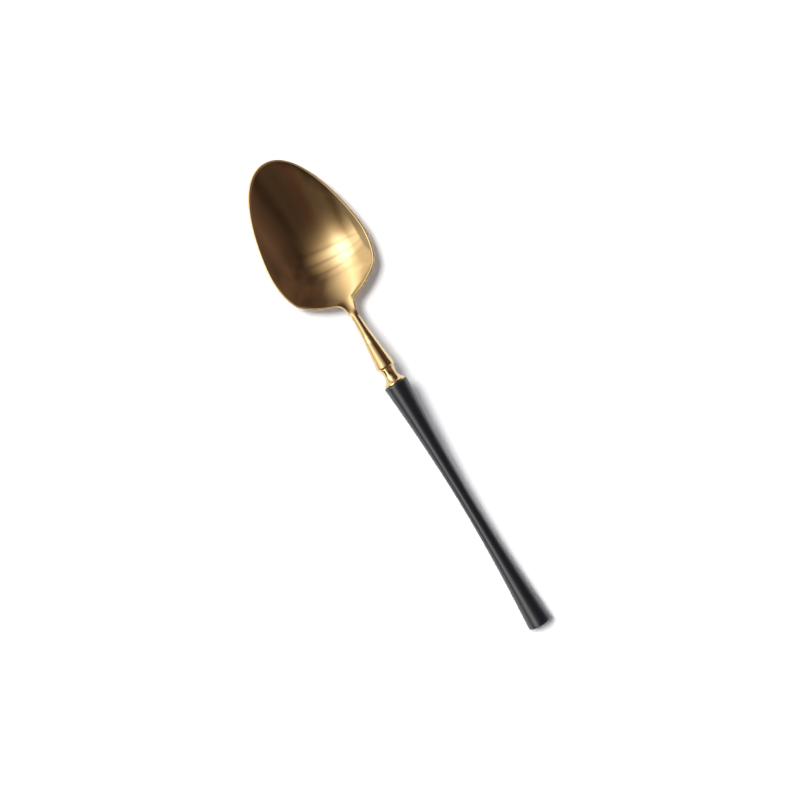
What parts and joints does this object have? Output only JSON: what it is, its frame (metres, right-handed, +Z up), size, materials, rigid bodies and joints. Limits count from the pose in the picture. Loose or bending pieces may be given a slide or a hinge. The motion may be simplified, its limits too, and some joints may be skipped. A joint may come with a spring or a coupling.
{
  "type": "table spoon",
  "caption": "Table spoon with an egg-shaped gold-coloured bowl, slim flared stem, turned gold collar and a waisted matte black grip.",
  "frame": {"origin": "under the middle of the spoon's length, on the surface that it lies on: the centre of the bottom of its box", "axes": "+X along the spoon from the tip of the bowl to the end of the grip, +Y across the bowl, +Z up, out of the bowl's mouth"},
  "size_m": [0.21, 0.0416, 0.0201],
  "materials": {
    "satin_gold": "gold-coloured vapour coating on steel, satin brushed",
    "polished_gold": "gold-coloured vapour coating on steel, polished",
    "bare_steel": "drawn stainless rod, uncoated",
    "matte_black": "moulded resin, smooth and matte"
  },
  "bodies": {
    "root": {"head": "satin_gold", "collar": "polished_gold", "tang": "bare_steel", "grip": "matte_black"}
  },
  "joints": []
}
